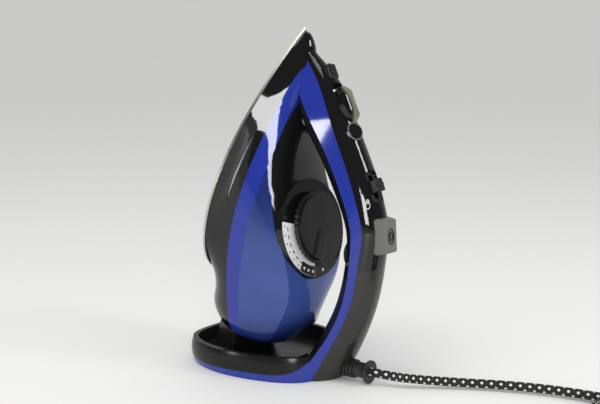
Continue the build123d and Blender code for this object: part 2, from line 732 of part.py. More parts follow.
def valve_plane(v=0.0):
    return Plane(origin=(v, VALVE_Y, VALVE_U), x_dir=(0, 0, 1), z_dir=(1, 0, 0))


def valve_rod():
    pin = rod(cross_plane(cam_point(), VALVE_Y), CAM_PIN_R, 0, LINK_Y + LINK_THICK / 2 + PROUD - VALVE_Y)
    return rod(valve_plane(), VALVE_R, HEATER_TOP - VALVE_SINK, VALVE_TOP + VALVE_HEAD) + pin


def valve_guide():
    base = HEATER_TOP + GASKET_THICK + LID_THICK
    bore = rod(valve_plane(), VALVE_R + RUN_CLEARANCE, 0, VALVE_TOP)
    return rod(valve_plane(), VALVE_GUIDE_R, base, GUIDE_TOP) - bore


def throat_tube(radius, top=THROAT_TOP, length=THROAT_LENGTH):
    return rod(ramp_plane(THROAT_AT), radius, top - length, top)


def throat_hole():
    return throat_tube(THROAT_R + THROAT_WALL, 0, 2 * THROAT_LENGTH)


def grip_pad(frame_form, core):
    v, u, tilt, cover, trim, frame = GRIP[1][:6]
    plane = outward_plane(v, u, tilt)
    centre = plane.from_local_coords((0, 0, PAD_SINK - cover - trim - frame))
    low, high = (0, -PAD_HALF_LENGTH), (0, PAD_HALF_LENGTH)
    profile = make_face([Line(low, high), ThreePointArc(high, (PAD_RISE, 0), low)])
    turning = Plane(origin=centre, x_dir=plane.z_dir * -1, z_dir=(0, 1, 0))
    bump = revolve(turning * profile, axis=Axis(centre, turning.y_dir))
    return largest(bump - frame_form - core)


def upper_half():
    return Pos(0, 0, REACH / 2) * Box(2 * REACH, 2 * REACH, REACH)


def neck():
    sections = []
    for u, low, high, low_half, high_half in NECK:
        corners = [(-low_half, low), (low_half, low), (high_half, high), (-high_half, high)]
        plane = Plane(origin=(0, 0, u), x_dir=(0, -1, 0), z_dir=(0, 0, 1))
        sections.append(plane * make_face(Polyline(*corners, close=True)))
    return stand(loft(sections, ruled=True)) & Pos(0, 0, HEEL_FLOOR) * upper_half()


def along_x(radius, start, end):
    return rod(Plane(origin=(0, 0, BUSHING_Z), x_dir=(0, 1, 0), z_dir=(1, 0, 0)), radius, start, end)


def bushing():
    flare_start = BUSHING_END - FLANGE_THICK - FLARE_LENGTH
    shape = along_x(BUSHING_R, BUSHING_START, flare_start)
    for rib in range(BUSHING_RIBS):
        at = BUSHING_RIB_START + rib * (BUSHING_NECK - BUSHING_RIB_START) / BUSHING_RIBS
        shape = shape + along_x(BUSHING_R + RIB_RISE, at, at + RIB_WIDTH)
    flare = Plane(origin=(flare_start, 0, BUSHING_Z), x_dir=(0, 1, 0), z_dir=(1, 0, 0))
    flange = extrude(flare * Circle(BUSHING_R), FLARE_LENGTH, taper=-FLARE_TAPER)
    flange = flange + along_x(FLANGE_R, BUSHING_END - FLANGE_THICK, BUSHING_END)
    return shape + flange - along_x(CORD_R + SIDE_CLEARANCE, 0, 2 * BUSHING_END)


def clamp():
    seat = HEEL_FLOOR - TRAY_PLATE
    bar = Pos(0, 0, seat + CLAMP_HEIGHT / 2) * Box(CLAMP_THICK, CLAMP_WIDTH, CLAMP_HEIGHT)
    depth = seat - BUSHING_Z + CORD_R + PROUD
    saddle = Pos(0, 0, seat - depth / 2) * Box(CLAMP_THICK, 2 * CORD_R, depth)
    return Pos(CORD_START - CLAMP_THICK / 2, 0, 0) * (bar + saddle)


def tube(path, radius):
    return sweep(Plane(origin=path @ 0, z_dir=path % 0) * Circle(radius), path=path)


def cord_route():
    coil_y = COIL_Y + COIL_R
    return [(CORD_START, 0, BUSHING_Z), *CORD_BENDS, (COIL_LEAD_X, coil_y, COIL_Z), (COIL_X, coil_y, COIL_Z)]


def fillet_radii(points):
    radii = []
    for before, here, after in zip(points, points[1:], points[2:]):
        one, two = Vector(*here) - Vector(*before), Vector(*after) - Vector(*here)
        half_turn = math.radians(one.get_angle(two)) / 2
        radii.append(0.45 * min(one.length, two.length) / math.tan(half_turn))
    return radii


def half_turn(start, tangent, end):
    chord = end - start
    middle = (start + end) * 0.5 + tangent * (chord.length / 2)
    return [TangentArc(start, middle, tangent=tangent), TangentArc(middle, end, tangent=chord)]


def coil_path():
    radii = [COIL_R - COIL_PITCH / 2 * step for step in range(COIL_HALF_TURNS + 1)]
    radii = radii + radii[-2:0:-1]
    heading = 1
    point = Vector(COIL_X, COIL_Y + COIL_R, COIL_Z)
    edges = []
    for step, radius in enumerate(radii):
        climb = COIL_PITCH if step == COIL_HALF_TURNS else 0
        end = point + Vector(0, -heading * 2 * radius, climb)
        edges += half_turn(point, Vector(heading, 0, 0), end)
        point, heading = end, -heading
    return edges, point, heading


def least_gap(edges, radius, near=30):
    points = [edge @ (step / 10) for edge in edges for step in range(10)]
    gaps = [(a - b).length for i, a in enumerate(points) for b in points[i + near:]]
    return min(gaps) - 2 * radius


def plug(end):
    start = Plane(origin=end, x_dir=(0, 1, 0), z_dir=(1, 0, 0))
    relief = loft([start * Circle(CORD_R + RELIEF_WALL), start.offset(RELIEF_LENGTH) * Circle(2 * CORD_R)])
    body = block(start.offset(RELIEF_LENGTH), PLUG_WIDTH, PLUG_HEIGHT, 0, PLUG_LENGTH, PLUG_CORNER)
    return relief + body


def blades(end):
    shapes = []
    for side in (-1, 1):
        origin = end + Vector(RELIEF_LENGTH + PLUG_LENGTH, side * BLADE_SPACING / 2, 0)
        plane = Plane(origin=origin, x_dir=(0, 1, 0), z_dir=(1, 0, 0))
        shapes.append(block(plane, BLADE_THICK, BLADE_WIDTH, 0, BLADE_LENGTH))
    return shapes


def tie():
    inner_r = COIL_R - COIL_PITCH / 2 * COIL_HALF_TURNS - CORD_R - SIDE_CLEARANCE
    outer_r = COIL_R + CORD_R + SIDE_CLEARANCE
    low, high = COIL_Z - CORD_R - SIDE_CLEARANCE, COIL_Z + COIL_PITCH + CORD_R + SIDE_CLEARANCE
    plane = Plane(origin=(COIL_X + (inner_r + outer_r) / 2, COIL_Y, (low + high) / 2),
                  x_dir=(1, 0, 0), z_dir=(0, 1, 0))
    wide, tall = outer_r - inner_r, high - low
    loop = Rectangle(wide + 2 * TIE_THICK, tall + 2 * TIE_THICK) - Rectangle(wide, tall)
    return extrude(plane * loop, TIE_WIDTH / 2, both=True)


def housing():
    body = body_loft()
    hollow = body_loft(WALL, skip=2)
    leaf = slab(leaf_outline(), SOLE_THICK, REACH)
    skirt = largest((body - above(SKIRT_LINE)) - hollow - heater_room())
    tub = (body & above(SKIRT_LINE)) - above(BAND_LINE)
    bottom = (body_loft(WALL / 2, skip=2) & above(SKIRT_LINE)) - above(SKIRT_LINE, TANK_FLOOR)
    tub = largest(tub - hollow + bottom)
    shell = largest((body & above(BAND_LINE)) - hollow)
    pocket = rod(dial_plane(), BEZEL_R, -BEZEL_DEPTH, BEZEL_R)
    holes = [rod(valve_plane(), VALVE_GUIDE_R, 0, VALVE_TOP), throat_hole()]
    deck = largest((shell & leaf) - pocket - holes)
    tank = largest(shell - leaf - pocket - holes)
    tub = largest(tub - holes - rod(dial_plane(), SHAFT_TUBE_R, -2 * SHAFT_LENGTH, 0))
    return body, skirt, tub, deck, tank


def heel():
    outer = loft([heel_outline(0, 0), heel_outline(HEEL_BULGE, HEEL_BULGE_Z), heel_outline(PROUD, HEEL_RIM)])
    cavity = loft([heel_outline(-HEEL_WALL, HEEL_FLOOR), heel_outline(PROUD - HEEL_WALL, HEEL_RIM + PROUD)])
    first, last = BASE_LINE[0], BASE_LINE[-1]
    border = Polyline(last, (REACH, last[1]), (REACH, -PROUD), (first[0], -PROUD), first)
    plate = extrude(heel_outline(-HEEL_WALL, HEEL_FLOOR - TRAY_PLATE), TRAY_PLATE + PROUD, dir=(0, 0, 1))
    low = across(Plane.XZ * make_face([Spline(*BASE_LINE), border])) - plate
    return (outer & low) - cavity, (outer - low) - cavity


def handle(body):
    cover_form, trim_form, frame_form = [handle_loft(layer) for layer in ("cover", "trim", "frame")]
    core = handle_loft("core", CORE_START)
    door_well = cross_rod(pin_point(), DOOR_WELL_R, DOOR_WELL_HALF)
    spray = spray_plane()
    spray_well = rod(spray, SPRAY_R + SPRAY_RING, -RING_DEPTH, 2 * PUMP_R)
    spray_cuts = [spray_well, pump_seat(spray, SPRAY_SKIRT, SPRAY_TRAVEL)]
    boost_pocket = block(boost_plane(), BOOST_WIDTH + 2 * SIDE_CLEARANCE, BOOST_LENGTH + 2 * SIDE_CLEARANCE,
                         -BOOST_SKIRT - BOOST_TRAVEL - PISTON_R, 2 * BOOST_WIDTH, BOOST_CORNER)
    valve_well = rod(valve_plane(), VALVE_R + SIDE_CLEARANCE, HEATER_TOP, VALVE_TOP + 4 * VALVE_HEAD)
    wells = [door_well, *spray_cuts, boost_pocket, valve_well]
    cuts = [core, throat_hole(), link_channel(), slider_slot(), *wells]
    fittings = [cross_rod(pin_point(), PIN_R, PIN_HALF), nozzle_block(), nozzle_tip()]
    guide = rod(valve_plane(), VALVE_GUIDE_R, 0, GUIDE_TOP)
    seat = pump_seat(boost_plane(), BOOST_SKIRT, BOOST_TRAVEL)
    cover = largest(cover_form - body - cuts - door_seat(cover_form) - fittings)
    trim = trim_form - body - cuts - fittings
    frame = frame_form - body - cuts - [guide, seat]
    return cover_form, trim_form, frame_form, core, cover, trim, frame


floor = upper_half()
body, skirt, tub, deck, tank = housing()
base, tray = heel()
cover_form, trim_form, frame_form, core, cover, trim, frame = handle(body)
bore = [along_x(BUSHING_R + 2 * SIDE_CLEARANCE, BORE_START, BUSHING_NECK),
        along_x(BUSHING_R + RIB_RISE + SIDE_CLEARANCE, BUSHING_RIB_START - SIDE_CLEARANCE, BUSHING_END)]
cover = largest((stand(cover) & floor) - bore)
trim = largest((stand(trim) & floor) + (base - stand(cover_form)) - bore - clamp())
frame = (stand(frame) & floor) - base
frame = largest(frame - stand(core) - bore - clamp())
tray = largest(tray - stand(handle_loft("shell")) - stand(frame_form) - bore)

base_v = HEATER_TOP + GASKET_THICK + LID_THICK
guide_hole = rod(valve_plane(), VALVE_R + SIDE_CLEARANCE, 0, GUIDE_TOP)
lid_form = chamber_outline(CHAMBER_LIP)
gasket = slab(lid_form, HEATER_TOP, HEATER_TOP + GASKET_THICK) - guide_hole
gasket = gasket - slab(chamber_outline(-PROUD), 0, GUIDE_TOP)

iron_nodes = {
    "soleplate": soleplate(),
    "heater_casting": heater_casting(),
    "heating_element": along_element(ELEMENT_R) + element_ends(),
    "sole_screws": sole_screws(),
    "chamber_gasket": gasket,
    "chamber_lid": slab(lid_form, HEATER_TOP + GASKET_THICK, base_v) - guide_hole,
    "thermostat": thermostat(),
    "thermal_fuse": thermal_fuse(),
    "skirt": skirt,
    "tank_lower": tub,
    "water_tank": tank,
    "deck_panel": deck,
    "dial_bezel": bezel(),
    "dial_scale": scale_label(),
    "thermostat_dial": dial(),
    "thermostat_shaft": dial_shaft(),
    "shaft_tube": shaft_tube(),
    "spray_nozzle": nozzle_block() - nozzle_tip(),
    "nozzle_tip": nozzle_tip(),
    "filler_door": filler_door(cover_form),
    "door_pin": cross_rod(pin_point(), PIN_R, PIN_HALF),
    "filler_throat": throat_tube(THROAT_R + THROAT_WALL) - throat_tube(THROAT_R),
    "spray_button": spray_button(),
    "spray_ring": spray_ring(),
    "spray_pump": pump(spray_plane(), SPRAY_SKIRT, SPRAY_TRAVEL),
    "steam_slider": slider(),
    "slider_link": slider_link(),
    "valve_rod": valve_rod(),
    "valve_guide": valve_guide(),
    "boost_button": boost_button(),
    "boost_pump": pump(boost_plane(), BOOST_SKIRT, BOOST_TRAVEL),
    "grip_pad": grip_pad(frame_form, core),
    "terminal_block": terminal_block(),
}
for name, shape in iron_nodes.items():
    save(name, stand(shape))

save("handle_cover", cover)
save("trim_band", trim)
save("handle_frame", frame)
save("heel_tray", tray)
save("rear_neck", neck())
save("cord_clamp", clamp())
save("cord_bushing", bushing())

route = cord_route()
radii = fillet_radii(route)
lead = FilletPolyline(*route, radius=radii)
edges, coil_end, heading = coil_path()
coil_wire = Wire(edges)
tail_end = coil_end + Vector(heading * TAIL_LENGTH, 0, 0)
tail = Line(coil_end, tail_end)
save("cord_lead", tube(lead, CORD_R))
save("cord_coil", tube(coil_wire, CORD_R))
save("cord_tail", tube(tail, CORD_R))
save("coil_tie", tie())
save("plug_body", plug(tail_end))
save("plug_blades", Compound(blades(tail_end)))
print("lead radii", [round(radius, 1) for radius in radii])
print("cord length", round(lead.length + coil_wire.length + tail.length))
print("coil gap", round(least_gap(edges, CORD_R), 2))
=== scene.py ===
import bpy
import json
import math
from mathutils import Matrix, Vector


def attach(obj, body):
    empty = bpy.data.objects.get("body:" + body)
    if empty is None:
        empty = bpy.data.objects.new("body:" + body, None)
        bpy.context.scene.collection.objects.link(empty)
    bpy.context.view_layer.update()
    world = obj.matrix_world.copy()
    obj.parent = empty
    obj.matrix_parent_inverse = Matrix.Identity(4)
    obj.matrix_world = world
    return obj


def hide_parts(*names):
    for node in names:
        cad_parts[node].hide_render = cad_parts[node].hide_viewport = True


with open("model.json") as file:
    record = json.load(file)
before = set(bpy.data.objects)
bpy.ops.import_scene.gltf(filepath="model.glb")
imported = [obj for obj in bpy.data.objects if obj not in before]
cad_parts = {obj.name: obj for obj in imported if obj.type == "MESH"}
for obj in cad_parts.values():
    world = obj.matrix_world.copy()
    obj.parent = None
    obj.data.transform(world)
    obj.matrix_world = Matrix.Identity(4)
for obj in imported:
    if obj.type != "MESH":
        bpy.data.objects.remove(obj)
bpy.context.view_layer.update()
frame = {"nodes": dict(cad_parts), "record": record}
scene = bpy.context.scene
bpy.ops.object.select_all(action='DESELECT')
print("frame loaded:", len(frame["nodes"]), "nodes")


# camera at the photograph's viewing angle
cameraSet = {"azimuth": 38.0, "elevation": 9.0, "distance": 0.850, "lens": 59.16, "sensor": 36.0,
             "target": (0.02823, 0.0, 0.1475)}


def awayFrom(azimuth, elevation):
    turn, rise = math.radians(azimuth), math.radians(elevation)
    return Vector((math.sin(turn) * math.cos(rise), -math.cos(turn) * math.cos(rise), math.sin(rise)))


def makeCamera():
    back = awayFrom(cameraSet["azimuth"], cameraSet["elevation"])
    bpy.ops.object.camera_add(location=Vector(cameraSet["target"]) + back * cameraSet["distance"])
    camera = bpy.context.object
    camera.rotation_euler = (-back).to_track_quat('-Z', 'Y').to_euler()
    camera.data.lens = cameraSet["lens"]
    camera.data.sensor_width = cameraSet["sensor"]
    scene.camera = camera


makeCamera()
scene.view_settings.view_transform = 'Standard'


# shader helpers
def newMaterial(name):
    material = bpy.data.materials.new(name)
    material.use_nodes = True
    tree = material.node_tree
    return material, tree, tree.nodes["Principled BSDF"]


def addNode(tree, kind, **settings):
    node = tree.nodes.new(kind)
    for key, value in settings.items():
        if key in node.inputs:
            node.inputs[key].default_value = value
        else:
            setattr(node, key, value)
    return node


def objectNoise(tree, scale, detail=4.0):
    coords = addNode(tree, 'ShaderNodeTexCoord')
    noise = addNode(tree, 'ShaderNodeTexNoise', Scale=scale, Detail=detail)
    tree.links.new(coords.outputs["Object"], noise.inputs["Vector"])
    return noise


def spread(tree, source, low, high):
    remap = addNode(tree, 'ShaderNodeMapRange')
    remap.inputs["To Min"].default_value = low
    remap.inputs["To Max"].default_value = high
    tree.links.new(source, remap.inputs["Value"])
    return remap.outputs["Result"]


def mixColor(tree, factor, first, second):
    mix = addNode(tree, 'ShaderNodeMix', data_type='RGBA')
    mix.inputs[6].default_value = (*first, 1)
    mix.inputs[7].default_value = (*second, 1)
    tree.links.new(factor, mix.inputs[0])
    return mix.outputs[2]


def addBump(tree, shader, source, strength, distance):
    bump = addNode(tree, 'ShaderNodeBump', Strength=strength, Distance=distance)
    tree.links.new(source, bump.inputs["Height"])
    tree.links.new(bump.outputs["Normal"], shader.inputs["Normal"])


plasticSet = {"clouds": 35.0, "least": 0.01, "grain": 2600.0, "grainDetail": 2.0, "grainDepth": 0.0002}


def plastic(name, color, roughness, spreadBy=0.04, grain=0.0, bend=1.5):
    material, tree, shader = newMaterial(name)
    shader.inputs["Base Color"].default_value = (*color, 1)
    shader.inputs["IOR"].default_value = bend
    clouds = objectNoise(tree, plasticSet["clouds"])
    least = max(roughness - spreadBy, plasticSet["least"])
    rough = spread(tree, clouds.outputs["Fac"], least, roughness + spreadBy)
    tree.links.new(rough, shader.inputs["Roughness"])
    if grain:
        specks = objectNoise(tree, plasticSet["grain"], plasticSet["grainDetail"])
        addBump(tree, shader, specks.outputs["Fac"], grain, plasticSet["grainDepth"])
    return material


metalSet = {"grain": (900, 900, 900), "detail": 3.0, "least": 0.6, "most": 1.5, "bump": 0.06, "depth": 0.0001}


def metal(name, color, roughness, streaks=metalSet["grain"]):
    material, tree, shader = newMaterial(name)
    shader.inputs["Base Color"].default_value = (*color, 1)
    shader.inputs["Metallic"].default_value = 1.0
    coords = addNode(tree, 'ShaderNodeTexCoord')
    mapping = addNode(tree, 'ShaderNodeMapping')
    mapping.inputs["Scale"].default_value = streaks
    noise = addNode(tree, 'ShaderNodeTexNoise', Scale=1.0, Detail=metalSet["detail"])
    tree.links.new(coords.outputs["Object"], mapping.inputs["Vector"])
    tree.links.new(mapping.outputs["Vector"], noise.inputs["Vector"])
    rough = spread(tree, noise.outputs["Fac"], roughness * metalSet["least"], roughness * metalSet["most"])
    tree.links.new(rough, shader.inputs["Roughness"])
    addBump(tree, shader, noise.outputs["Fac"], metalSet["bump"], metalSet["depth"])
    return material


clearSet = {"bend": 1.45, "clouds": 30.0, "least": 0.7, "most": 1.3}


def clearPlastic(name, color, roughness, share):
    material, tree, shader = newMaterial(name)
    shader.inputs["Base Color"].default_value = (*color, 1)
    shader.inputs["Transmission Weight"].default_value = share
    shader.inputs["IOR"].default_value = clearSet["bend"]
    clouds = objectNoise(tree, clearSet["clouds"])
    rough = spread(tree, clouds.outputs["Fac"], roughness * clearSet["least"], roughness * clearSet["most"])
    tree.links.new(rough, shader.inputs["Roughness"])
    return material


def seamPlastic(name):
    # glossy above the handle's sloping seam and satin below it
    seam = {"height": 0.0975, "slope": 0.25, "heightAtX": 0.1, "upper": (0.006, 0.006, 0.0065),
            "lower": (0.016, 0.0155, 0.014), "gloss": 0.06, "satin": 0.27}
    material = plastic(name, seam["upper"], seam["gloss"])
    tree = material.node_tree
    shader = tree.nodes["Principled BSDF"]
    coords = addNode(tree, 'ShaderNodeTexCoord')
    split = addNode(tree, 'ShaderNodeVectorMath', operation='DOT_PRODUCT')
    split.inputs[1].default_value = (-seam["slope"], 0, 1)
    tree.links.new(coords.outputs["Object"], split.inputs[0])
    below = addNode(tree, 'ShaderNodeMath', operation='LESS_THAN')
    below.inputs[1].default_value = seam["height"] - seam["slope"] * seam["heightAtX"]
    tree.links.new(split.outputs["Value"], below.inputs[0])
    rough = spread(tree, below.outputs["Value"], seam["gloss"], seam["satin"])
    tree.links.new(rough, shader.inputs["Roughness"])
    tone = mixColor(tree, below.outputs["Value"], seam["upper"], seam["lower"])
    tree.links.new(tone, shader.inputs["Base Color"])
    return material


def braid(name):
    # black braid with pale flecks where two sets of winding threads cross
    weave = {"along": 1800.0, "around": 1.5, "limit": 0.80, "thread": (0.010, 0.010, 0.011),
             "fleck": (0.62, 0.61, 0.58), "roughness": 0.75, "bump": 0.5, "depth": 0.0004}
    material, tree, shader = newMaterial(name)
    coords = addNode(tree, 'ShaderNodeTexCoord')
    parts = addNode(tree, 'ShaderNodeSeparateXYZ')
    tree.links.new(coords.outputs["UV"], parts.inputs["Vector"])
    waves = []
    for hand in (1, -1):
        along = addNode(tree, 'ShaderNodeMath', operation='MULTIPLY')
        along.inputs[1].default_value = weave["along"]
        around = addNode(tree, 'ShaderNodeMath', operation='MULTIPLY')
        around.inputs[1].default_value = hand * weave["around"] * 2 * math.pi
        tree.links.new(parts.outputs["X"], along.inputs[0])
        tree.links.new(parts.outputs["Y"], around.inputs[0])
        both = addNode(tree, 'ShaderNodeMath', operation='ADD')
        tree.links.new(along.outputs[0], both.inputs[0])
        tree.links.new(around.outputs[0], both.inputs[1])
        wave = addNode(tree, 'ShaderNodeMath', operation='SINE')
        tree.links.new(both.outputs[0], wave.inputs[0])
        waves.append(wave)
    cross = addNode(tree, 'ShaderNodeMath', operation='MULTIPLY')
    tree.links.new(waves[0].outputs[0], cross.inputs[0])
    tree.links.new(waves[1].outputs[0], cross.inputs[1])
    bare = addNode(tree, 'ShaderNodeMath', operation='ABSOLUTE')
    tree.links.new(cross.outputs[0], bare.inputs[0])
    fleck = addNode(tree, 'ShaderNodeMath', operation='GREATER_THAN')
    fleck.inputs[1].default_value = weave["limit"]
    tree.links.new(bare.outputs[0], fleck.inputs[0])
    tone = mixColor(tree, fleck.outputs[0], weave["thread"], weave["fleck"])
    tree.links.new(tone, shader.inputs["Base Color"])
    shader.inputs["Roughness"].default_value = weave["roughness"]
    addBump(tree, shader, cross.outputs[0], weave["bump"], weave["depth"])
    return material


def tankBluePaintedShade(name):
    # clear blue with painted shade that darkens it towards the tank's top and bottom, and soft blotches of
    # painted reflection and shade between
    shade = {"top": (0.165, 0.085), "bottom": (0.030, 0.062), "deep": (0.020, 0.042, 0.22),
             "light": (0.080, 0.145, 0.48), "roughness": 0.05, "share": 0.45, "paintedReflectionPatches": 14.0,
             "patchDetail": 1.0, "patchRange": (0.35, 1.35)}
    material = clearPlastic(name, shade["light"], shade["roughness"], shade["share"])
    tree = material.node_tree
    shader = tree.nodes["Principled BSDF"]
    coords = addNode(tree, 'ShaderNodeTexCoord')
    parts = addNode(tree, 'ShaderNodeSeparateXYZ')
    tree.links.new(coords.outputs["Object"], parts.inputs["Vector"])
    paintedReflectionPatches = objectNoise(tree, shade["paintedReflectionPatches"], shade["patchDetail"])
    paintedLitShare = spread(tree, paintedReflectionPatches.outputs["Fac"], *shade["patchRange"])
    # painted shade: the blue fades darker towards the tank's top and its bottom
    for start, end in (shade["top"], shade["bottom"]):
        fade = addNode(tree, 'ShaderNodeMapRange', interpolation_type='SMOOTHSTEP')
        fade.inputs["From Min"].default_value = start
        fade.inputs["From Max"].default_value = end
        tree.links.new(parts.outputs["Z"], fade.inputs["Value"])
        both = addNode(tree, 'ShaderNodeMath', operation='MULTIPLY')
        tree.links.new(paintedLitShare, both.inputs[0])
        tree.links.new(fade.outputs["Result"], both.inputs[1])
        paintedLitShare = both.outputs[0]
    # painted shade and reflection: the darker blue stands in for shade towards the top and bottom and for
    # reflections in the soft blotches
    tone = mixColor(tree, paintedLitShare, shade["deep"], shade["light"])
    tree.links.new(tone, shader.inputs["Base Color"])
    return material


def doorLens(name):
    # black rim on the near side that fades into a smoky olive window
    lens = {"start": -0.0045, "end": 0.0005, "rim": (0.006, 0.006, 0.006), "smoke": (0.20, 0.19, 0.135),
            "roughness": 0.05, "share": 0.25}
    material = clearPlastic(name, lens["smoke"], lens["roughness"], lens["share"])
    tree = material.node_tree
    shader = tree.nodes["Principled BSDF"]
    coords = addNode(tree, 'ShaderNodeTexCoord')
    parts = addNode(tree, 'ShaderNodeSeparateXYZ')
    tree.links.new(coords.outputs["Object"], parts.inputs["Vector"])
    window = addNode(tree, 'ShaderNodeMapRange', interpolation_type='SMOOTHSTEP')
    window.inputs["From Min"].default_value = lens["start"]
    window.inputs["From Max"].default_value = lens["end"]
    tree.links.new(parts.outputs["Y"], window.inputs["Value"])
    tone = mixColor(tree, window.outputs["Result"], lens["rim"], lens["smoke"])
    tree.links.new(tone, shader.inputs["Base Color"])
    return material


def padRubber(name):
    # small moulded diamonds on the finger pad
    pad = {"color": (0.016, 0.016, 0.015), "roughness": 0.5, "cells": 620.0, "bump": 0.8, "depth": 0.0008}
    material = plastic(name, pad["color"], pad["roughness"])
    tree = material.node_tree
    cells = addNode(tree, 'ShaderNodeTexVoronoi', Scale=pad["cells"], Randomness=0.0)
    coords = addNode(tree, 'ShaderNodeTexCoord')
    tree.links.new(coords.outputs["Object"], cells.inputs["Vector"])
    addBump(tree, tree.nodes["Principled BSDF"], cells.outputs["Distance"], pad["bump"], pad["depth"])
    return material


finishes = {
    "sole_metal": metal("soleSteel", (0.60, 0.585, 0.50), 0.34, (60, 60, 1500)),
    "cast_aluminium": metal("castAluminium", (0.55, 0.55, 0.56), 0.45),
    "element_steel": metal("elementSteel", (0.36, 0.34, 0.33), 0.4),
    "screw_steel": metal("screwSteel", (0.6, 0.6, 0.6), 0.3),
    "gasket_rubber": plastic("siliconeGasket", (0.35, 0.1, 0.07), 0.55),
    "black_gloss": plastic("pianoBlack", (0.006, 0.006, 0.0065), 0.05, 0.02),
    "black_satin": plastic("satinBlack", (0.010, 0.010, 0.0105), 0.28, grain=0.12),
    "blue_gloss": plastic("bandBlue", (0.015, 0.030, 0.25), 0.06, 0.03),
    # the tank's blue carries painted shade and painted reflection
    "blue_clear": tankBluePaintedShade("tankBluePaintedShade"),
    "smoke_clear": doorLens("smokeLens"),
    "grey_plastic": plastic("buttonGrey", (0.115, 0.112, 0.10), 0.30, grain=0.1),
    "inner_plastic": plastic("innerPlastic", (0.5, 0.48, 0.44), 0.4),
    "label_print": plastic("scalePrint", (0.70, 0.71, 0.71), 0.35),
    "ring_chrome": metal("ringChrome", (0.42, 0.42, 0.44), 0.2),
    "brass": metal("brass", (0.72, 0.55, 0.25), 0.25),
    "cord_braid": braid("cordBraid"),
    "black_rubber": plastic("blackRubber", (0.014, 0.014, 0.014), 0.45, grain=0.2),
}
nodeFinishes = {"handle_cover": seamPlastic("handleBlack"), "grip_pad": padRubber("padRubber"),
                "heel_tray": plastic("trayBlack", (0.010, 0.010, 0.0095), 0.20, bend=1.3)}

slotOf = {row["node"]: row["material_slot"] for row in frame["record"]["subparts"]}

# cord as one smooth line: the lead's points, the put-away coil's turns and the tail
cordSet = {"diameter": 0.0075, "exitZ": 0.0105, "start": 0.058, "dipZ": 0.008, "layZ": 0.0052,
           "lead": ((0.112, 0), (0.135, 0.012), (0.166, 0.036), (0.205, 0.057), (0.246, 0.071)),
           "coilX": 0.335, "coilY": 0.023, "coilR": 0.054, "joinX": 0.290, "pitch": 0.0082, "halfTurns": 6,
           "steps": 8, "tail": 0.030, "smooth": 6, "facets": 4}


def cordPoints():
    lay, top, startY = cordSet["layZ"], cordSet["exitZ"], cordSet["coilY"] + cordSet["coilR"]
    heights = (top, cordSet["dipZ"], lay, lay, lay)
    points = [(cordSet["start"], 0, top)]
    points += [(*place, height) for place, height in zip(cordSet["lead"], heights)]
    points.append((cordSet["joinX"], startY, lay))
    swing = math.pi / cordSet["steps"]
    inward = [cordSet["coilR"] - cordSet["pitch"] / 2 * step for step in range(cordSet["halfTurns"] + 1)]
    radii = inward + inward[-2:0:-1]
    place, heading, height = startY, 1, lay
    for turn, radius in enumerate(radii):
        climb = cordSet["pitch"] if turn == cordSet["halfTurns"] else 0
        middle = place - heading * radius
        outer = radius / math.cos(swing / 2)
        for step in range(cordSet["steps"]):
            angle = (step + 0.5) * swing
            x = cordSet["coilX"] + heading * outer * math.sin(angle)
            y = middle + heading * outer * math.cos(angle)
            points.append((x, y, height + climb * (step + 0.5) / cordSet["steps"]))
        place, height, heading = place - heading * 2 * radius, height + climb, -heading
    return points + [(cordSet["coilX"] + heading * cordSet["tail"], place, height)]


def makeCord():
    points = cordPoints()
    curve = bpy.data.curves.new("mainsCord", 'CURVE')
    curve.dimensions = '3D'
    curve.resolution_u = cordSet["smooth"]
    curve.bevel_depth = cordSet["diameter"] / 2
    curve.bevel_resolution = cordSet["facets"]
    spline = curve.splines.new('NURBS')
    spline.points.add(len(points) - 1)
    for point, place in zip(spline.points, points):
        point.co = (*place, 1)
    spline.order_u = 3
    spline.use_endpoint_u = True
    cord = bpy.data.objects.new("mainsCord", curve)
    scene.collection.objects.link(cord)
    cord.data.materials.append(finishes["cord_braid"])
    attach(cord, "iron")
    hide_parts("cord_lead", "cord_coil", "cord_tail")


makeCord()
print("cord laid")

for node, holder in frame["nodes"].items():
    holder.data.materials.clear()
    holder.data.materials.append(nodeFinishes.get(node, finishes[slotOf[node]]))


# generic marks on the dial's scale: dark bars and ticks on the pale label, pale dots on its dark end
dialSet = {"lift": 0.00185, "thick": 0.00012, "ticks": (170, 181, 192, 203, 214, 225), "tickR": 0.0392,
           "tickSize": (0.0024, 0.0007), "barR": 0.0350, "barSize": (0.0011, 0.0034), "barTurn": 4,
           "patch": range(232, 260, 2), "patchR": 0.0371, "patchSize": (0.0086, 0.0020),
           "dots": (237, 246, 255), "dotR": 0.0375, "dotSize": (0.0022, 0.0022), "homeDot": 278,
           "bezelLift": 0.00145}
dialJoint = next(joint for joint in frame["record"]["behaviour"]["joints"] if joint["name"] == "dial_turn")


def addBar(angle, radius, size, lift):
    out = -Vector(dialJoint["axis"])
    side = Vector((0, 1, 0))
    turn = math.radians(angle)
    radial = side * math.cos(turn) + out.cross(side) * math.sin(turn)
    place = Vector(dialJoint["pos_m"]) + radial * radius + out * lift
    facing = Matrix((radial, out.cross(radial), out)).transposed().to_euler()
    bpy.ops.mesh.primitive_cube_add(size=1, location=place, rotation=facing)
    bar = bpy.context.object
    bar.scale = (*size, dialSet["thick"])
    bpy.ops.object.transform_apply(location=True, rotation=True, scale=True)
    return bar


def joinPieces(pieces, name, finish, body):
    bpy.ops.object.select_all(action='DESELECT')
    for piece in pieces:
        piece.select_set(True)
    bpy.context.view_layer.objects.active = pieces[0]
    if len(pieces) > 1:
        bpy.ops.object.join()
    bpy.context.scene.cursor.location = (0, 0, 0)
    bpy.ops.object.origin_set(type='ORIGIN_CURSOR')
    joined = bpy.context.object
    joined.name = name
    joined.data.materials.append(finish)
    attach(joined, body)
    bpy.ops.object.select_all(action='DESELECT')


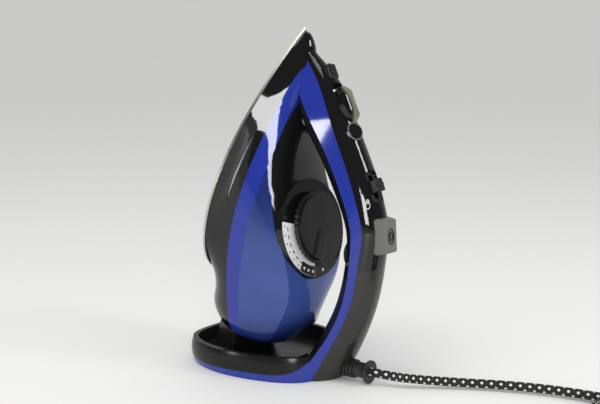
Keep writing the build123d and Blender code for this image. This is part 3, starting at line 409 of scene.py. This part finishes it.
def makeScale():
    lift, over = dialSet["lift"], dialSet["lift"] + dialSet["thick"]
    dark = [addBar(angle, dialSet["tickR"], dialSet["tickSize"], lift) for angle in dialSet["ticks"]]
    bars = [angle + dialSet["barTurn"] for angle in dialSet["ticks"]]
    dark += [addBar(angle, dialSet["barR"], dialSet["barSize"], lift) for angle in bars]
    dark += [addBar(angle, dialSet["patchR"], dialSet["patchSize"], lift) for angle in dialSet["patch"]]
    joinPieces(dark, "scaleMarks", finishes["black_satin"], "iron")
    pale = [addBar(angle, dialSet["dotR"], dialSet["dotSize"], over) for angle in dialSet["dots"]]
    pale.append(addBar(dialSet["homeDot"], dialSet["dotR"], dialSet["dotSize"], dialSet["bezelLift"]))
    joinPieces(pale, "scaleDots", finishes["label_print"], "iron")


makeScale()
print("scale marked")

# raised ring marks: pale ones printed on the handle beside the boost button, a grey one moulded on the button
ringSet = {"printAt": (0.1065, -0.0120, 0.1538), "printOut": (0.669, -0.710, 0.220),
           "printR": (0.0030, 0.0016), "printStep": 0.0030, "printWire": 0.0004,
           "buttonAt": (0.12150, 0.0, 0.1283), "buttonOut": (0.99863, 0.0, 0.05234),
           "buttonR": (0.0060, 0.0030), "buttonWire": 0.0008, "narrow": 0.62, "segments": 40, "facets": 8}


def addRing(place, out, radius, wire):
    facing = Vector(out).to_track_quat('Z', 'Y').to_euler()
    bpy.ops.mesh.primitive_torus_add(location=place, rotation=facing, major_radius=radius, minor_radius=wire,
                                     major_segments=ringSet["segments"], minor_segments=ringSet["facets"])
    ring = bpy.context.object
    ring.scale = (ringSet["narrow"], 1, 1)
    bpy.ops.object.transform_apply(location=True, rotation=True, scale=True)
    return ring


def makeRings():
    low = Vector(ringSet["printAt"])
    high = low + Vector((0, 0, ringSet["printStep"]))
    printed = [addRing(place, ringSet["printOut"], radius, ringSet["printWire"])
               for place, radius in zip((low, high), ringSet["printR"])]
    joinPieces(printed, "steamMark", finishes["label_print"], "iron")
    moulded = [addRing(ringSet["buttonAt"], ringSet["buttonOut"], radius, ringSet["buttonWire"])
               for radius in ringSet["buttonR"]]
    joinPieces(moulded, "buttonMark", finishes["black_satin"], "boost_key")


makeRings()
print("marks added")


# stage: wide pale floor, a pale backdrop on the far side of the room and soft lamps near the camera
stageSet = {"floor": 40.0, "floorColor": (0.80, 0.80, 0.79), "backdrop": (0.590, 0.588, 0.575), "fill": 0.80,
            "fillColor": (1, 1, 0.99), "floorRough": 0.55, "roomDark": 0.10, "roomBright": 0.62,
            "towards": (-0.60, 0.78, 0.16), "brightening": (-0.1, 0.75), "lampTarget": (0.028, 0, 0.15)}
lampSet = {"keyLamp": {"polar": (41, 10, 1.6), "size": (0.46, 0.40), "power": 9.5},
           "sideLamp": {"polar": (-27, 5, 1.5), "size": (0.16, 0.16), "power": 1.6},
           "topLamp": {"polar": (-10, 66, 1.6), "size": (0.8, 0.8), "power": 7},
           "ridgeLamp": {"polar": (106, 30, 1.3), "size": (0.24, 0.34), "power": 3.4}}


def areaLamp(name, polar, size, power):
    away = awayFrom(polar[0], polar[1])
    bpy.ops.object.light_add(type='AREA', location=Vector(stageSet["lampTarget"]) + away * polar[2])
    lamp = bpy.context.object
    lamp.name = name
    lamp.data.shape = 'RECTANGLE'
    lamp.data.size, lamp.data.size_y = size
    lamp.data.energy = power
    lamp.rotation_euler = (-away).to_track_quat('-Z', 'Y').to_euler()


def makeFloor():
    bpy.ops.mesh.primitive_plane_add(size=stageSet["floor"], location=(0, 0, 0))
    floor = bpy.context.object
    floor.name = "floor"
    material, _, shader = newMaterial("paleFloor")
    shader.inputs["Base Color"].default_value = (*stageSet["floorColor"], 1)
    shader.inputs["Roughness"].default_value = stageSet["floorRough"]
    floor.data.materials.append(material)


def makeRoom():
    world = bpy.data.worlds.new("softStudio")
    scene.world = world
    world.use_nodes = True
    tree = world.node_tree
    tree.nodes.clear()
    path = addNode(tree, 'ShaderNodeLightPath')
    fill = addNode(tree, 'ShaderNodeBackground', Strength=stageSet["fill"])
    fill.inputs["Color"].default_value = (*stageSet["fillColor"], 1)
    coords = addNode(tree, 'ShaderNodeTexCoord')
    facing = addNode(tree, 'ShaderNodeVectorMath', operation='DOT_PRODUCT')
    facing.inputs[1].default_value = stageSet["towards"]
    tree.links.new(coords.outputs["Generated"], facing.inputs[0])
    level = addNode(tree, 'ShaderNodeMapRange', interpolation_type='SMOOTHSTEP')
    level.inputs["From Min"].default_value = stageSet["brightening"][0]
    level.inputs["From Max"].default_value = stageSet["brightening"][1]
    level.inputs["To Min"].default_value = stageSet["roomDark"]
    level.inputs["To Max"].default_value = stageSet["roomBright"]
    tree.links.new(facing.outputs["Value"], level.inputs["Value"])
    room = addNode(tree, 'ShaderNodeBackground')
    tree.links.new(level.outputs["Result"], room.inputs["Strength"])
    backdrop = addNode(tree, 'ShaderNodeBackground')
    backdrop.inputs["Color"].default_value = (*stageSet["backdrop"], 1)
    shiny = addNode(tree, 'ShaderNodeMixShader')
    tree.links.new(path.outputs["Is Glossy Ray"], shiny.inputs["Fac"])
    tree.links.new(fill.outputs["Background"], shiny.inputs[1])
    tree.links.new(room.outputs["Background"], shiny.inputs[2])
    seen = addNode(tree, 'ShaderNodeMixShader')
    tree.links.new(path.outputs["Is Camera Ray"], seen.inputs["Fac"])
    tree.links.new(shiny.outputs["Shader"], seen.inputs[1])
    tree.links.new(backdrop.outputs["Background"], seen.inputs[2])
    output = addNode(tree, 'ShaderNodeOutputWorld')
    tree.links.new(seen.outputs["Shader"], output.inputs["Surface"])


makeFloor()
makeRoom()
for lampName, settings in lampSet.items():
    areaLamp(lampName, **settings)
print("stage lit")
